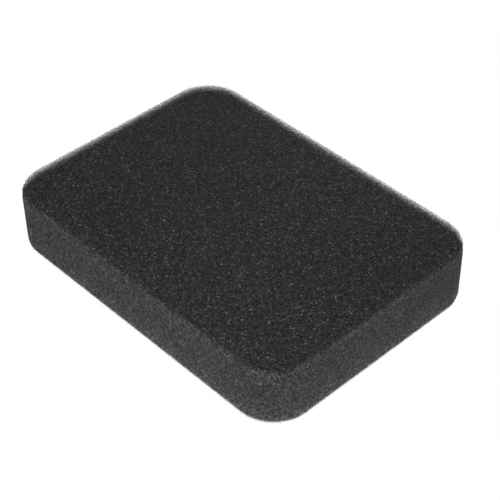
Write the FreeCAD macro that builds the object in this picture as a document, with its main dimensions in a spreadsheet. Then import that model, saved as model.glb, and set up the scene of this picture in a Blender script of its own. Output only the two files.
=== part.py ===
import FreeCAD, Part
import math
import os
import Sketcher
from FreeCAD import Placement, Rotation, Vector

# Flat foam air filter element for a small engine, in millimetres.
# It is one slab of open-cell foam, cut from sheet with a steel-rule die, so its
# outline is a rectangle with round corners and its walls stand upright.
# Frame: X along the slab, Y across it, Z up through its thickness. The origin is
# in the middle of the underside, the face that lies on the grid of the air box.

doc = FreeCAD.newDocument("FoamFilterElement")


# ---- driving dimensions ----

sheet = doc.addObject("Spreadsheet::Sheet", "Sizes")
sizes = (
    ("slab_length", 125.0, "along X, over the two end walls"),
    ("slab_width", 90.0, "along Y, over the two long walls"),
    ("slab_thickness", 20.5, "sheet thickness, from the grid to the cover"),
    ("corner_radius", 13.5, "round corners of the die-cut outline"),
    ("top_edge_radius", 2.0, "soft rim round the top face"),
    ("bottom_edge_radius", 0.5, "slight softening of the rim round the underside"),
)
for row, (alias, value, note) in enumerate(sizes, start=1):
    sheet.set(f"A{row}", alias)
    sheet.set(f"B{row}", str(value))
    sheet.set(f"C{row}", note)
    sheet.setAlias(f"B{row}", alias)
doc.recompute()


# ---- helpers ----

def origin_plane(body, role):
    """The body's own origin plane with this role, such as XY_Plane."""
    return next(plane for plane in body.Origin.OriginFeatures if plane.Role == role)


def draw_rounded_rectangle(sketch, length, width, radius):
    """A closed outline about the sketch's origin: four straight walls, four round corners.

    The three numbers only place the first drawing. The named constraints Length,
    Width and Radius, which the sheet drives, set the real sizes.
    """
    half_x, half_y = length / 2, width / 2
    flat_x, flat_y = half_x - radius, half_y - radius
    front = Part.LineSegment(Vector(-flat_x, -half_y, 0), Vector(flat_x, -half_y, 0))
    right = Part.LineSegment(Vector(half_x, -flat_y, 0), Vector(half_x, flat_y, 0))
    back = Part.LineSegment(Vector(flat_x, half_y, 0), Vector(-flat_x, half_y, 0))
    left = Part.LineSegment(Vector(-half_x, flat_y, 0), Vector(-half_x, -flat_y, 0))
    walls = [sketch.addGeometry(wall, False) for wall in (front, right, back, left)]

    corner_centres = ((flat_x, -flat_y), (flat_x, flat_y), (-flat_x, flat_y), (-flat_x, -flat_y))
    corners = []
    for quarter, (x, y) in enumerate(corner_centres):
        circle = Part.Circle(Vector(x, y, 0), Vector(0, 0, 1), radius)
        start = math.radians(90 * (quarter - 1))
        arc = Part.ArcOfCircle(circle, start, start + math.radians(90))
        corners.append(sketch.addGeometry(arc, False))

    start_point, end_point, centre_point = 1, 2, 3
    for number, wall in enumerate(walls):
        corner, next_wall = corners[number], walls[(number + 1) % 4]
        sketch.addConstraint(Sketcher.Constraint("Tangent", wall, end_point, corner, start_point))
        sketch.addConstraint(Sketcher.Constraint("Tangent", corner, end_point, next_wall, start_point))
    front, right, back, left = walls
    sketch.addConstraint(Sketcher.Constraint("Horizontal", front))
    sketch.addConstraint(Sketcher.Constraint("Vertical", right))
    sketch.addConstraint(Sketcher.Constraint("Horizontal", back))
    sketch.addConstraint(Sketcher.Constraint("Vertical", left))
    for corner in corners[1:]:
        sketch.addConstraint(Sketcher.Constraint("Equal", corners[0], corner))

    # opposite corners are symmetric about the origin
    root_point = -1
    sketch.addConstraint(Sketcher.Constraint(
        "Symmetric", corners[0], centre_point, corners[2], centre_point, root_point, 1))

    for name, constraint in (
        ("Length", Sketcher.Constraint("DistanceX", left, end_point, right, start_point, length)),
        ("Width", Sketcher.Constraint("DistanceY", front, end_point, back, start_point, width)),
        ("Radius", Sketcher.Constraint("Radius", corners[0], radius)),
    ):
        sketch.renameConstraint(sketch.addConstraint(constraint), name)


def rim_edges(shape, height):
    """Names of the edges that lie at this height, all the way round the outline."""
    flat = 1e-6
    return [f"Edge{number}" for number, edge in enumerate(shape.Edges, start=1)
            if abs(edge.BoundBox.ZMin - height) < flat and abs(edge.BoundBox.ZMax - height) < flat]


def soften_rim(body, name, base, height, alias):
    """Round the rim at this height with the radius that the sheet holds under alias."""
    fillet = body.newObject("PartDesign::Fillet", name)
    fillet.Base = (base, rim_edges(base.Shape, height))
    fillet.setExpression("Radius", f"Sizes.{alias}")
    doc.recompute()
    return fillet


# ---- filter_foam: the slab of open-cell foam ----

def make_filter_foam():
    body = doc.addObject("PartDesign::Body", "FilterFoam")
    body.Label = "filter_foam"

    outline = body.newObject("Sketcher::SketchObject", "DieOutline")
    outline.AttachmentSupport = (origin_plane(body, "XY_Plane"), "")
    outline.MapMode = "FlatFace"
    draw_rounded_rectangle(outline, sheet.slab_length, sheet.slab_width, sheet.corner_radius)
    outline.setExpression("Constraints.Length", "Sizes.slab_length")
    outline.setExpression("Constraints.Width", "Sizes.slab_width")
    outline.setExpression("Constraints.Radius", "Sizes.corner_radius")

    slab = body.newObject("PartDesign::Pad", "CutSlab")
    slab.Profile = outline
    slab.setExpression("Length", "Sizes.slab_thickness")
    outline.Visibility = False
    doc.recompute()

    soft_top = soften_rim(body, "SoftTopRim", slab, sheet.slab_thickness, "top_edge_radius")
    soften_rim(body, "SoftBottomRim", soft_top, 0.0, "bottom_edge_radius")

    body.Placement = Placement(Vector(0, 0, 0), Rotation())
    return body


sub_parts = [make_filter_foam()]
doc.recompute()


# ---- checks, then one STEP file for each sub-part ----

for item in doc.Objects:
    if "Invalid" in item.State or "Error" in item.State:
        raise RuntimeError(f"{item.Name} did not build: {item.State}")
    if item.isDerivedFrom("Sketcher::SketchObject") and not item.FullyConstrained:
        raise RuntimeError(f"{item.Name} is not fully constrained")

for part in sub_parts:
    if part.Shape.isNull() or not part.Shape.isValid():
        raise RuntimeError(f"{part.Label} has no valid shape")
    if len(part.Shape.Solids) != 1:
        raise RuntimeError(f"{part.Label} is not one solid")

os.makedirs("parts", exist_ok=True)
for part in sub_parts:
    part.Shape.exportStep(f"parts/{part.Label}.step")
    box = part.Shape.optimalBoundingBox()
    print(f"{part.Label}: {box.XLength:.2f} x {box.YLength:.2f} x {box.ZLength:.2f} mm, "
          f"{part.Shape.Volume / 1000:.2f} cm3")
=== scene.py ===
import math
import random

import bmesh
import bpy
from mathutils import Matrix, Vector, kdtree, noise


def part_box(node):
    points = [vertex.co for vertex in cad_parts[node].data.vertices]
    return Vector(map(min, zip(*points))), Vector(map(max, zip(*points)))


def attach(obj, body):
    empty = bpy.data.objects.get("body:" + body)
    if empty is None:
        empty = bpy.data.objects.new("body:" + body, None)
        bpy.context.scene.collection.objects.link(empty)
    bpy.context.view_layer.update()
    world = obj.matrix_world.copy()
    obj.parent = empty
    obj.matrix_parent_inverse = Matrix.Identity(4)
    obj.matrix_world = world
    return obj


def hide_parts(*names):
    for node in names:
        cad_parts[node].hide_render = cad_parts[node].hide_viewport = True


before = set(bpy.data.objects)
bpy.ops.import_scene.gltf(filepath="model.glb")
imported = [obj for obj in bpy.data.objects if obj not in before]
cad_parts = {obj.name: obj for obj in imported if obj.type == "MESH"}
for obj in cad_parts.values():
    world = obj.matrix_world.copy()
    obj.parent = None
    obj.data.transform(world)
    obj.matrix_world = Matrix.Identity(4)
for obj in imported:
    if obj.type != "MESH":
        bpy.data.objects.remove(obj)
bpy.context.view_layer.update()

scene = bpy.context.scene
scene.view_settings.view_transform = "Standard"

slabLow, slabHigh = (Vector(corner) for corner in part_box("filter_foam"))
slabCentre = (slabLow + slabHigh) / 2
slabSize = slabHigh - slabLow


# open-cell foam: a net of paler struts round pores painted dark, the painted shade inside the open cells, and
# a few cells painted much brighter than the rest as painted glints
foamLook = {
    "cellPitch": 0.00043,
    "strutColour": (0.080, 0.0765, 0.0745, 1),
    "poreShadeColour": (0.010, 0.0096, 0.0094, 1),
    "strutCore": 0.02,
    "strutWidth": 0.16,
    "cellSkew": 2,
    "cellVariation": (0.75, 1.6),
    "porePitch": 0.0010,
    "poreReach": (0.1, 0.7),
    "poreShade": (0.55, 1.40),
    "liftRange": 1.5,
    "liftGain": 0.36,
    "sideContrast": 1.38,
    "topContrast": 1.02,
    "contrastBySparkle": (0.55, 1.45),
    # the first two gains paint light, paler on the rim slopes and low on the walls; the third varies the tone
    # by place
    "gains": {"rim": 0.55, "floorBounceLight": 1.6, "tone": 0.265},
    "glintShare": 0.019,
    "glintColour": (0.64, 0.615, 0.595, 1),
    "sideGlint": 0.55,
    "glintBySparkle": (-0.1, 1.9),
    "roughness": 0.6,
    "specular": 0.25,
    "bumpStrength": 0.8,
    "bumpShare": 0.5,
}


def addNode(tree, kind, **settings):
    node = tree.nodes.new("ShaderNode" + kind)
    for name, value in settings.items():
        setattr(node, name, value)
    return node


def rangeNode(tree, source, fromLow, fromHigh, toLow, toHigh, kind="LINEAR"):
    node = addNode(tree, "MapRange", interpolation_type=kind)
    for name, value in (("From Min", fromLow), ("From Max", fromHigh), ("To Min", toLow), ("To Max", toHigh)):
        node.inputs[name].default_value = value
    tree.links.new(source, node.inputs["Value"])
    return node.outputs[0]


def makeFoamMaterial(name, look):
    material = bpy.data.materials.new(name)
    material.use_nodes = True
    tree = material.node_tree
    link = tree.links.new
    shader = tree.nodes["Principled BSDF"]
    shader.inputs["Roughness"].default_value = look["roughness"]
    shader.inputs["Specular IOR Level"].default_value = look["specular"]

    place = addNode(tree, "TexCoord")
    walls = addNode(tree, "TexVoronoi", feature="DISTANCE_TO_EDGE")
    cells = addNode(tree, "TexVoronoi", feature="F1")
    for texture in (walls, cells):
        texture.inputs["Scale"].default_value = 1 / look["cellPitch"]
        link(place.outputs["Object"], texture.inputs["Vector"])
    strut = rangeNode(tree, walls.outputs["Distance"], look["strutCore"], look["strutWidth"], 1, 0,
                      "SMOOTHSTEP")

    net = addNode(tree, "Mix", data_type="RGBA")
    net.inputs[6].default_value = look["poreShadeColour"]
    net.inputs[7].default_value = look["strutColour"]
    link(strut, net.inputs[0])

    chance = addNode(tree, "SeparateColor")
    link(cells.outputs["Color"], chance.inputs[0])
    skewed = addNode(tree, "Math", operation="POWER")
    skewed.inputs[1].default_value = look["cellSkew"]
    link(chance.outputs[0], skewed.inputs[0])
    cellShade = rangeNode(tree, skewed.outputs[0], 0, 1, *look["cellVariation"])

    # raised spots of the cut face are painted paler and the hollows darker, a painted shade for the light
    # that raised spots catch more than hollows
    paintedReliefShade = addNode(tree, "Attribute", attribute_name="paintedReliefShade")
    most = look["liftRange"]
    change = most * look["liftGain"]
    liftShade = rangeNode(tree, paintedReliefShade.outputs["Fac"], -most, most, 1 - change, 1 + change)
    # painted shade: the larger pores are painted darker towards their middles, where less light gets in
    pores = addNode(tree, "TexVoronoi", feature="F1")
    pores.inputs["Scale"].default_value = 1 / look["porePitch"]
    link(place.outputs["Object"], pores.inputs["Vector"])
    poreShade = rangeNode(tree, pores.outputs["Distance"], *look["poreReach"], *look["poreShade"])
    bothShades = addNode(tree, "Math", operation="MULTIPLY")
    link(cellShade, bothShades.inputs[0])
    link(liftShade, bothShades.inputs[1])
    allShades = addNode(tree, "Math", operation="MULTIPLY")
    link(bothShades.outputs[0], allShades.inputs[0])
    link(poreShade, allShades.inputs[1])
    flatness = addNode(tree, "Attribute", attribute_name="flatness")
    contrast = addNode(tree, "Math", operation="POWER")
    link(allShades.outputs[0], contrast.inputs[0])
    evenContrast = rangeNode(tree, flatness.outputs["Fac"], 0, 1, look["sideContrast"], look["topContrast"])
    sparkle = addNode(tree, "Attribute", attribute_name="sparkle")
    unevenContrast = addNode(tree, "Math", operation="MULTIPLY")
    link(evenContrast, unevenContrast.inputs[0])
    link(rangeNode(tree, sparkle.outputs["Fac"], -1, 1, *look["contrastBySparkle"]), unevenContrast.inputs[1])
    link(unevenContrast.outputs[0], contrast.inputs[1])
    shade = contrast.outputs[0]
    for attribute, gain in look["gains"].items():
        share = addNode(tree, "Attribute", attribute_name=attribute)
        paler = addNode(tree, "Math", operation="MULTIPLY")
        link(shade, paler.inputs[0])
        link(rangeNode(tree, share.outputs["Fac"], -1, 1, 1 - gain, 1 + gain), paler.inputs[1])
        shade = paler.outputs[0]
    shaded = addNode(tree, "VectorMath", operation="SCALE")
    link(net.outputs[2], shaded.inputs[0])
    link(shade, shaded.inputs["Scale"])

    # painted highlights: on a few cells the struts are painted in the glint colour, weaker on the sides and
    # varying with the sparkle noise
    glint = addNode(tree, "Math", operation="GREATER_THAN")
    glint.inputs[1].default_value = 1 - look["glintShare"]
    link(chance.outputs[1], glint.inputs[0])
    glintStrut = addNode(tree, "Math", operation="MULTIPLY")
    link(glint.outputs[0], glintStrut.inputs[0])
    link(strut, glintStrut.inputs[1])
    glintShare = addNode(tree, "Math", operation="MULTIPLY")
    link(glintStrut.outputs[0], glintShare.inputs[0])
    glintBySide = rangeNode(tree, flatness.outputs["Fac"], 0, 1, look["sideGlint"], 1)
    glintByPlace = addNode(tree, "Math", operation="MULTIPLY", use_clamp=True)
    link(glintBySide, glintByPlace.inputs[0])
    link(rangeNode(tree, sparkle.outputs["Fac"], -1, 1, *look["glintBySparkle"]), glintByPlace.inputs[1])
    link(glintByPlace.outputs[0], glintShare.inputs[1])
    final = addNode(tree, "Mix", data_type="RGBA")
    final.inputs[7].default_value = look["glintColour"]
    link(glintShare.outputs[0], final.inputs[0])
    link(shaded.outputs[0], final.inputs[6])
    link(final.outputs[2], shader.inputs["Base Color"])

    bump = addNode(tree, "Bump")
    bump.inputs["Strength"].default_value = look["bumpStrength"]
    bump.inputs["Distance"].default_value = look["cellPitch"] * look["bumpShare"]
    link(strut, bump.inputs["Height"])
    link(bump.outputs["Normal"], shader.inputs["Normal"])
    return material


slab = {
    "cornerRadius": 0.0135,
    "farRim": 0.0042,
    "nearRim": 0.0012,
    "bottomRim": 0.0012,
    "cornerSegments": 16,
    "meshPitch": 0.00033,
    "grain": 0.00012,
    "grainShare": 0.9,
    "pitPitch": 0.0008,
    "pitReach": 0.55,
    "pitDepth": 0.00020,
    "pitShade": 0.5,
    "fullness": 0.00012,
    "coarserTop": 0.5,
    "floorBounceHeight": 0.0033,
    "rimLightFade": 0.2,
    "edgeLightShare": 0.24,
    "edgeLightReach": 0.0045,
    "tonePitch": 0.067,
    "tonePlace": (11.1, 1.9, 8.9),
    "sparklePitch": 0.10,
    "sparklePlace": (9.6, 4.3, 7.9),
}


def boxAbout(bm, centre, size):
    bmesh.ops.create_cube(bm, size=1)
    bmesh.ops.scale(bm, vec=size, verts=bm.verts)
    bmesh.ops.translate(bm, vec=centre, verts=bm.verts)


def bevelEdges(bm, edges, width, segments):
    bmesh.ops.bevel(bm, geom=edges, offset=width, offset_type="OFFSET", segments=segments,
                    profile=0.5, affect="EDGES", material=-1)


def rimAt(bm, height):
    return [edge for edge in bm.edges
            if all(abs(vert.co.z - height) < 1e-6 for vert in edge.verts)]


def pastCorners(x, y):
    radius = slab["cornerRadius"]
    return Vector((max(abs(x) - slabSize.x / 2 + radius, 0), max(abs(y) - slabSize.y / 2 + radius, 0)))


def outwardsAt(x, y):
    past = pastCorners(x, y)
    return Vector((math.copysign(past.x, x), math.copysign(past.y, y), 0)).normalized()


def wallDepth(x, y):
    return slab["cornerRadius"] - pastCorners(x, y).length


# the rim stands open widest along the back and the left, and narrows round two corners
def rimWidth(x, y):
    out = outwardsAt(x, y)
    far = max(0, min(1, (out.y - out.x + 1) / 2))
    return slab["nearRim"] + (slab["farRim"] - slab["nearRim"]) * far


def slopeTopRim(bm):
    top = max(bm.faces, key=lambda face: face.calc_center_median().z)
    bmesh.ops.inset_individual(bm, faces=[top], thickness=slab["nearRim"])
    inner = set(top.verts)
    for vert in bm.verts:
        if vert.co.z > slabHigh.z - 1e-6:
            width = rimWidth(vert.co.x, vert.co.y)
            if vert in inner:
                vert.co -= outwardsAt(vert.co.x, vert.co.y) * (width - slab["nearRim"])
            else:
                vert.co.z -= width


def makeSlabShape():
    bm = bmesh.new()
    boxAbout(bm, slabCentre, slabSize)
    upright = [edge for edge in bm.edges
               if abs(edge.verts[0].co.z - edge.verts[1].co.z) > slabSize.z / 2]
    bevelEdges(bm, upright, slab["cornerRadius"], slab["cornerSegments"])
    bevelEdges(bm, rimAt(bm, slabLow.z), slab["bottomRim"], 1)
    slopeTopRim(bm)
    mesh = bpy.data.meshes.new("filterFoam")
    bm.to_mesh(mesh)
    bm.free()
    piece = bpy.data.objects.new("filterFoam", mesh)
    scene.collection.objects.link(piece)
    return piece


def remeshEvenly(piece, pitch):
    remesh = piece.modifiers.new("evenMesh", "REMESH")
    remesh.mode = "VOXEL"
    remesh.voxel_size = pitch
    bpy.context.view_layer.objects.active = piece
    bpy.ops.object.modifier_apply(modifier=remesh.name)


# for baking, each side of the slab is laid flat on one square sheet, and rim slopes go with top and bottom
bakeSheet = {
    "gap": 0.0016,
    "steepest": 0.5,
}


def sheetTurn(sheetSize, uAxis, vAxis, uPlace=0, vPlace=0):
    turn = Matrix.Identity(4)
    for row, axis, place in ((0, Vector(uAxis), uPlace), (1, Vector(vAxis), vPlace)):
        turn[row][:3] = axis
        turn[row][3] = abs(axis.dot(slabSize)) / 2 - axis.dot(slabCentre) + place + bakeSheet["gap"] / 2
    return Matrix.Scale(1 / sheetSize, 4) @ turn


def slabTurns():
    gap = bakeSheet["gap"]
    size = slabSize.x + 3 * slabSize.z + 4 * gap
    second = slabSize.y + gap
    columns = [slabSize.x + gap + number * (slabSize.z + gap) for number in range(3)]
    return {
        "top": sheetTurn(size, (1, 0, 0), (0, 1, 0)),
        "bottom": sheetTurn(size, (1, 0, 0), (0, -1, 0), 0, second),
        "front": sheetTurn(size, (0, 0, -1), (1, 0, 0), columns[0]),
        "back": sheetTurn(size, (0, 0, 1), (1, 0, 0), columns[1]),
        "left": sheetTurn(size, (0, 0, 1), (0, 1, 0), columns[2]),
        "right": sheetTurn(size, (0, 0, -1), (0, 1, 0), columns[2], second),
    }


def sideAt(normal):
    if abs(normal.z) > bakeSheet["steepest"]:
        return "top" if normal.z > 0 else "bottom"
    if abs(normal.y) > abs(normal.x):
        return "back" if normal.y > 0 else "front"
    return "right" if normal.x > 0 else "left"


def layFlat(mesh, turnAt):
    spots = [vert.co for vert in mesh.vertices]
    places = []
    for face in mesh.polygons:
        turn = turnAt(face.normal)
        for vert in face.vertices:
            places.extend((turn @ spots[vert]).xy)
    mesh.uv_layers.new(name="OFBake").data.foreach_set("uv", places)


# painted light: the sloped top rim is painted paler, making up for the shade its struts cast on it, and fades
# out at the slope's ends
def rimPaintedLight(vert):
    slant = 4 * vert.normal.z ** 2 * (1 - vert.normal.z ** 2)
    down = (slabHigh.z - vert.co.z) / rimWidth(vert.co.x, vert.co.y)
    return slant * max(0.0, min(1.0, down / slab["rimLightFade"], (1 - down) / slab["rimLightFade"]))


def paint(mesh, name, values):
    mesh.attributes.new(name, "FLOAT", "POINT").data.foreach_set("value", values)


def paintEvenly(mesh):
    # painted light: colour paler towards the bottom, standing in for light bounced up from the floor and
    # through the thin foam at the bottom edge
    paint(mesh, "floorBounceLight", [math.exp((slabLow.z - vert.co.z) / slab["floorBounceHeight"]) for vert in mesh.vertices])
    for name in ("tone", "sparkle"):
        pitch, place = slab[name + "Pitch"], Vector(slab[name + "Place"])
        paint(mesh, name, [noise.noise(vert.co / pitch + place) for vert in mesh.vertices])


def roughenCutFaces(piece):
    mesh = piece.data
    reliefShades, flats, rims, moves = [], [], [], []
    for vert in mesh.vertices:
        jump = 2 * noise.cell_vector(vert.co / (slab["meshPitch"] * slab["grainShare"]))[0] - 1
        distances, seeds = noise.voronoi(vert.co / slab["pitPitch"])
        pit = max(0.0, 1 - distances[0] / slab["pitReach"])
        coarse = 1 + slab["coarserTop"] * abs(vert.normal.z)
        rise = slab["fullness"] + (slab["grain"] * jump - slab["pitDepth"] * pit) * coarse
        moves.append(vert.normal * rise)
        # painted shade: colour raised on the grain and lowered in the pits, more so on top and bottom
        reliefShades.append((jump - pit * slab["pitShade"]) * coarse)
        flats.append(abs(vert.normal.z))
        # painted light: top and bottom faces painted paler near the walls, for light coming in through the
        # rim
        edge = math.exp(-wallDepth(vert.co.x, vert.co.y) / slab["edgeLightReach"]) * abs(vert.normal.z)
        rims.append(rimPaintedLight(vert) + slab["edgeLightShare"] * edge)
    for vert, move in zip(mesh.vertices, moves):
        vert.co += move
    for name, values in (("paintedReliefShade", reliefShades), ("flatness", flats), ("rim", rims)):
        paint(mesh, name, values)
    paintEvenly(mesh)
    mesh.shade_smooth()


filterFoam = makeSlabShape()
remeshEvenly(filterFoam, slab["meshPitch"])
turns = slabTurns()
layFlat(filterFoam.data, lambda normal: turns[sideAt(normal)])
roughenCutFaces(filterFoam)
filterFoam.data.materials.append(makeFoamMaterial("charcoalFoam", foamLook))
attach(filterFoam, "root")
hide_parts("filter_foam")
print("foam slab made:", len(filterFoam.data.polygons), "faces")


# cut struts that stand open along the rims, where the foam is thin enough to see through
# rims gives the rim widths that a net fills, and its struts thin outwards down to taper
strutNets = {
    "farRim": {"rims": (0.0027, 1), "nodePitch": 0.00039, "jitter": 0.22, "reach": 0.00062,
               "thickness": 0.000092, "taper": 0.72, "fullAt": 0.0042},
    "nearRim": {"rims": (0, 0.0027), "nodePitch": 0.00026, "jitter": 0.25, "reach": 0.00042,
                "thickness": 0.000064, "taper": 1, "fullAt": 0.0012},
    "bottomRim": {"rims": (0, 1), "nodePitch": 0.00026, "jitter": 0.25, "reach": 0.00042,
                  "thickness": 0.000066, "taper": 0.5, "fullAt": 0.0010},
}
strutShape = {
    "linksPerNode": 4,
    "sunk": 0.0002,
    "outerRim": 0.0003,
    "firstLayer": 0.3,
    "perPiece": 24000,
    "seed": 5,
    "cellEdge": 0.1,
    "cellFilled": 0.8,
    "look": {"cellPitch": 0.0007, "strutColour": (0.184, 0.176, 0.171, 1),
             "poreShadeColour": (0.065, 0.062, 0.060, 1)},
}


def inWedge(wall, depth, rim):
    outer = strutShape["outerRim"]
    if min(wall, depth) < 0 or max(wall, depth) < outer < math.hypot(outer - wall, outer - depth):
        return False
    return wall + depth < rim + strutShape["sunk"]


def evenSteps(length, pitch):
    count = int(length / pitch)
    return [(i - count / 2) * pitch for i in range(count + 1)]


def scatterNodes(net, top):
    draw = random.Random(strutShape["seed"])
    pitch = net["nodePitch"]
    swing = pitch * net["jitter"]
    least, most = net["rims"]
    nodes = []
    for x in evenSteps(slabSize.x, pitch):
        for y in evenSteps(slabSize.y, pitch):
            rim = rimWidth(x, y) if top else slab["bottomRim"]
            if not least <= rim < most or wallDepth(x, y) > rim + pitch:
                continue
            for layer in range(int(rim / pitch) + 2):
                atX, atY = x + draw.uniform(-swing, swing), y + draw.uniform(-swing, swing)
                inwards = (layer + strutShape["firstLayer"]) * pitch + draw.uniform(-swing, swing)
                if inWedge(wallDepth(atX, atY), inwards, rim):
                    nodes.append((atX, atY, slabHigh.z - inwards if top else slabLow.z + inwards))
    return nodes


def linkNodes(nodes, net):
    tree = kdtree.KDTree(len(nodes))
    for number, node in enumerate(nodes):
        tree.insert(node, number)
    tree.balance()
    links = []
    for number, node in enumerate(nodes):
        for place, other, distance in tree.find_n(node, strutShape["linksPerNode"] + 1):
            if other > number and distance < net["reach"]:
                links.append((node, place))
    return links


def makeSection(thickness):
    curve = bpy.data.curves.new("strutSection", "CURVE")
    outline = curve.splines.new("POLY")
    outline.points.add(2)
    outline.use_cyclic_u = True
    for point, turn in zip(outline.points, (90, 210, 330)):
        angle = math.radians(turn)
        point.co = (thickness / 2 * math.cos(angle), thickness / 2 * math.sin(angle), 0, 1)
    section = bpy.data.objects.new("strutSection", curve)
    scene.collection.objects.link(section)
    return section


# for baking, the map that the curve gives every strut shrinks into a cell of its own on a square sheet
def layInCells(mesh, count):
    across = math.ceil(math.sqrt(count))
    sheet = mesh.uv_layers[0]
    sheet.name = "OFBake"
    places = []
    for face in mesh.polygons:
        side = face.index - 2 * count
        strut = side // 3 if side >= 0 else count - 1 - face.index // 2
        row, column = divmod(strut, across)
        for corner in face.loop_indices:
            along, around = sheet.data[corner].uv
            places.extend(((column + strutShape["cellEdge"] + strutShape["cellFilled"] * along) / across,
                           (row + strutShape["cellEdge"] + strutShape["cellFilled"] * around) / across))
    sheet.data.foreach_set("uv", places)


def strutsToMesh(name, links, net):
    section = makeSection(net["thickness"])
    curve = bpy.data.curves.new(name, "CURVE")
    curve.dimensions = "3D"
    curve.bevel_mode = "OBJECT"
    curve.bevel_object = section
    curve.use_fill_caps = True
    for link in links:
        spline = curve.splines.new("POLY")
        spline.points.add(1)
        for point, node in zip(spline.points, link):
            inwards = wallDepth(node[0], node[1]) + min(slabHigh.z - node[2], node[2] - slabLow.z)
            point.co = (*node, 1)
            point.radius = min(1, net["taper"] + (1 - net["taper"]) * inwards / net["fullAt"])
    shaped = bpy.data.objects.new(name, curve)
    scene.collection.objects.link(shaped)
    graph = bpy.context.evaluated_depsgraph_get()
    mesh = bpy.data.meshes.new_from_object(shaped.evaluated_get(graph), depsgraph=graph)
    bpy.data.objects.remove(shaped)
    bpy.data.objects.remove(section)
    mesh.materials.clear()
    mesh.materials.append(strutMaterial)
    paintEvenly(mesh)
    layInCells(mesh, len(links))
    piece = bpy.data.objects.new(name, mesh)
    scene.collection.objects.link(piece)
    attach(piece, "root")
    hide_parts("filter_foam")
    print(name, "made:", len(mesh.polygons), "faces,", len(mesh.loop_triangles), "triangles")


strutMaterial = makeFoamMaterial("cutStruts", {**foamLook, **strutShape["look"]})
for netName, net in strutNets.items():
    links = linkNodes(scatterNodes(net, netName != "bottomRim"), net)
    for number, first in enumerate(range(0, len(links), strutShape["perPiece"]), 1):
        strutsToMesh(f"{netName}Struts{number}", links[first:first + strutShape["perPiece"]], net)


# the floor shows white to the camera but for a faint shadow, and lights the foam as plain paper would
floorLook = {
    "halfWidth": 3,
    "colour": (0.8, 0.8, 0.8, 1),
    "glow": 1.05,
    "glowShare": 0.93,
}


def makeFloor(look):
    bm = bmesh.new()
    bmesh.ops.create_grid(bm, x_segments=1, y_segments=1, size=look["halfWidth"])
    mesh = bpy.data.meshes.new("floor")
    bm.to_mesh(mesh)
    bm.free()
    floor = bpy.data.objects.new("floor", mesh)
    scene.collection.objects.link(floor)
    material = bpy.data.materials.new("whiteFloor")
    material.use_nodes = True
    tree = material.node_tree
    shader = tree.nodes["Principled BSDF"]
    shader.inputs["Base Color"].default_value = look["colour"]
    shader.inputs["Roughness"].default_value = 1
    shader.inputs["Specular IOR Level"].default_value = 0
    glow = addNode(tree, "Emission")
    glow.inputs["Strength"].default_value = look["glow"]
    rays = addNode(tree, "LightPath")
    share = addNode(tree, "Math", operation="MULTIPLY")
    share.inputs[1].default_value = look["glowShare"]
    mix = addNode(tree, "MixShader")
    tree.links.new(rays.outputs["Is Camera Ray"], share.inputs[0])
    tree.links.new(share.outputs[0], mix.inputs["Fac"])
    tree.links.new(shader.outputs[0], mix.inputs[1])
    tree.links.new(glow.outputs[0], mix.inputs[2])
    tree.links.new(mix.outputs[0], tree.nodes["Material Output"].inputs["Surface"])
    mesh.materials.append(material)
    return floor


makeFloor(floorLook)

cameraPlace = {
    "azimuth": 47.63,
    "elevation": 41.04,
    "distance": 0.46638,
    "aimOffset": (0.00461, 0.00094, -0.00310),
    "roll": -0.711,
    "lens": 104.16,
    "sensor": 36,
    "clipStart": 0.01,
}


def outwards(azimuth, elevation):
    turn, rise = math.radians(azimuth), math.radians(elevation)
    return Vector((math.sin(turn) * math.cos(rise), -math.cos(turn) * math.cos(rise), math.sin(rise)))


def makeCamera(place):
    data = bpy.data.cameras.new("camera")
    data.lens = place["lens"]
    data.sensor_width = place["sensor"]
    data.clip_start = place["clipStart"]
    camera = bpy.data.objects.new("camera", data)
    scene.collection.objects.link(camera)
    stand = slabCentre + outwards(place["azimuth"], place["elevation"]) * place["distance"]
    look = slabCentre + Vector(place["aimOffset"]) - stand
    turn = look.to_track_quat("-Z", "Y").to_matrix().to_4x4()
    roll = Matrix.Rotation(math.radians(place["roll"]), 4, "Z")
    camera.matrix_world = Matrix.Translation(stand) @ turn @ roll
    scene.camera = camera


# radiance is a lamp's own brightness, so its power follows from its area
softboxes = {
    "leftSoftbox": {"azimuth": -8, "elevation": 8, "distance": 1.1, "size": (1.0, 0.4), "radiance": 8.83},
    "rightSoftbox": {"azimuth": 93, "elevation": 8, "distance": 0.8, "size": (1.0, 0.4), "radiance": 4.37},
    "topSoftbox": {"azimuth": 125, "elevation": 64, "distance": 1.3, "size": (0.8, 0.6), "radiance": 4.0},
    "backSoftbox": {"azimuth": 230, "elevation": 12, "distance": 1.5, "size": (1.2, 0.5), "radiance": 2.2},
}


def makeSoftbox(name, box):
    stand = slabCentre + outwards(box["azimuth"], box["elevation"]) * box["distance"]
    data = bpy.data.lights.new(name, "AREA")
    data.shape = "RECTANGLE"
    data.size, data.size_y = box["size"]
    data.energy = box["radiance"] * math.pi * data.size * data.size_y
    lamp = bpy.data.objects.new(name, data)
    scene.collection.objects.link(lamp)
    turn = (slabCentre - stand).to_track_quat("-Z", "Y").to_matrix().to_4x4()
    lamp.matrix_world = Matrix.Translation(stand) @ turn


ambientLight = 0.10


def makeWorld(ambient):
    world = bpy.data.worlds.new("studio")
    scene.world = world
    world.use_nodes = True
    tree = world.node_tree
    background = tree.nodes["Background"]
    background.inputs["Color"].default_value = (1, 1, 1, 1)
    rays = addNode(tree, "LightPath")
    strength = rangeNode(tree, rays.outputs["Is Camera Ray"], 0, 1, ambient, 1)
    tree.links.new(strength, background.inputs["Strength"])


makeCamera(cameraPlace)
for name, box in softboxes.items():
    makeSoftbox(name, box)
makeWorld(ambientLight)
print("stage, camera and lamps made")
